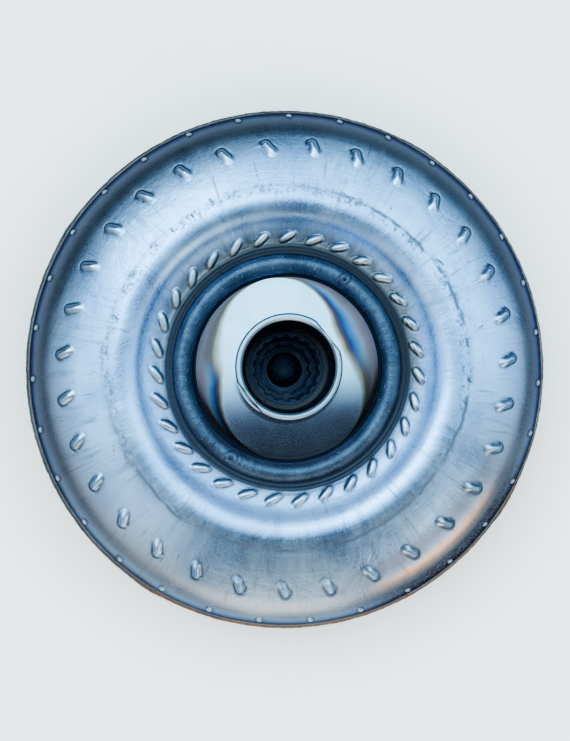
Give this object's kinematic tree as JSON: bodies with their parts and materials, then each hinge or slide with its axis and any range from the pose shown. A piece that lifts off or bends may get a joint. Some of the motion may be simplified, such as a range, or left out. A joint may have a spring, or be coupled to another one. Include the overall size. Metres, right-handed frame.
{
  "type": "torque converter",
  "caption": "Lock-up torque converter: welded steel housing with pump hub, pilot and drive studs around a turbine, stator and clutch.",
  "frame": {"origin": "on the rotation axis, at the plane of the drive studs' tips", "axes": "+Z along the rotation axis towards the end of the pump hub; +X through the overlaps of the two outer welds; the hub's drive flats face 19.5 degrees clockwise from +X, seen from the hub end, and opposite"},
  "size_m": [0.28, 0.28, 0.1663],
  "materials": {
    "pressed_steel": "satin, worn, with dark smudges",
    "blade_steel": "satin, oily",
    "polished_steel": "ground and polished, with heat tint near the weld",
    "machined_steel": "machined",
    "blued_weld": "satin blue oxide",
    "weld_metal": "rough, dark",
    "spring_steel": "oil-black",
    "cast_aluminium": "as cast",
    "friction_paper": "matt paper friction facing",
    "washer_plastic": "satin moulded resin"
  },
  "bodies": {
    "housing": {"front_cover": "pressed_steel", "pilot": "machined_steel", "pilot_weld": "weld_metal", "drive_pad_1": "machined_steel", "drive_pad_2": "machined_steel", "drive_pad_3": "machined_steel", "drive_pad_4": "machined_steel", "drive_stud_1": "spring_steel", "drive_stud_2": "spring_steel", "drive_stud_3": "spring_steel", "drive_stud_4": "spring_steel", "closure_weld": "weld_metal", "impeller_shell": "pressed_steel", "impeller_blade_wheel": "blade_steel", "impeller_hub": "polished_steel", "hub_weld": "blued_weld", "turbine_thrust_washer": "washer_plastic", "rear_bearing_race": "machined_steel"},
    "turbine": {"turbine_shell": "pressed_steel", "turbine_blade_wheel": "blade_steel", "turbine_hub": "machined_steel", "piston_seal": "washer_plastic", "front_bearing_race": "machined_steel"},
    "damper": {"damper_plate": "machined_steel"},
    "lockup": {"lockup_piston": "pressed_steel", "friction_lining": "friction_paper", "spring_retainer": "pressed_steel", "damper_spring_1": "spring_steel", "damper_spring_2": "spring_steel", "damper_spring_3": "spring_steel", "damper_spring_4": "spring_steel", "damper_spring_5": "spring_steel", "damper_spring_6": "spring_steel"},
    "inner_race": {"clutch_inner_race": "machined_steel"},
    "stator": {"stator_wheel": "cast_aluminium", "clutch_cam_race": "machined_steel", "stator_front_cap": "washer_plastic", "stator_rear_cap": "washer_plastic", "clutch_roller_1": "machined_steel", "clutch_roller_2": "machined_steel", "clutch_roller_3": "machined_steel", "clutch_roller_4": "machined_steel", "clutch_roller_5": "machined_steel", "clutch_roller_6": "machined_steel", "clutch_spring_1": "spring_steel", "clutch_spring_2": "spring_steel", "clutch_spring_3": "spring_steel", "clutch_spring_4": "spring_steel", "clutch_spring_5": "spring_steel", "clutch_spring_6": "spring_steel"},
    "rear_bearing": {"rear_bearing_cage": "machined_steel"},
    "front_bearing": {"front_bearing_cage": "machined_steel"}
  },
  "joints": [
    {"name": "turbine_spin", "type": "hinge", "parent": "housing", "child": "turbine", "pos_m": [0, 0, 0.046], "axis": [0, 0, 1], "continuous": true},
    {"name": "lockup_slide", "type": "slide", "parent": "turbine", "child": "damper", "axis": [0, 0, 1], "range_m": [0, 0.0009]},
    {"name": "damper_twist", "type": "hinge", "parent": "damper", "child": "lockup", "pos_m": [0, 0, 0.03948], "axis": [0, 0, 1], "range_deg": [-6, 6], "stiffness_Nm_per_rad": 600, "deforming": ["damper_spring_1", "damper_spring_2", "damper_spring_3", "damper_spring_4", "damper_spring_5", "damper_spring_6"]},
    {"name": "inner_race_spin", "type": "hinge", "parent": "housing", "child": "inner_race", "pos_m": [0, 0, 0.0893], "axis": [0, 0, 1], "continuous": true},
    {"name": "stator_spin", "type": "hinge", "parent": "inner_race", "child": "stator", "pos_m": [0, 0, 0.0893], "axis": [0, 0, 1], "continuous": true},
    {"name": "rear_bearing_roll", "type": "hinge", "parent": "housing", "child": "rear_bearing", "pos_m": [0, 0, 0.1105], "axis": [0, 0, 1], "continuous": true},
    {"name": "front_bearing_roll", "type": "hinge", "parent": "turbine", "child": "front_bearing", "pos_m": [0, 0, 0.068], "axis": [0, 0, 1], "continuous": true}
  ],
  "couplings": [
    {"joint": "rear_bearing_roll", "follows": "stator_spin", "ratio": 0.5},
    {"joint": "front_bearing_roll", "follows": "turbine_spin", "ratio": -0.5}
  ]
}
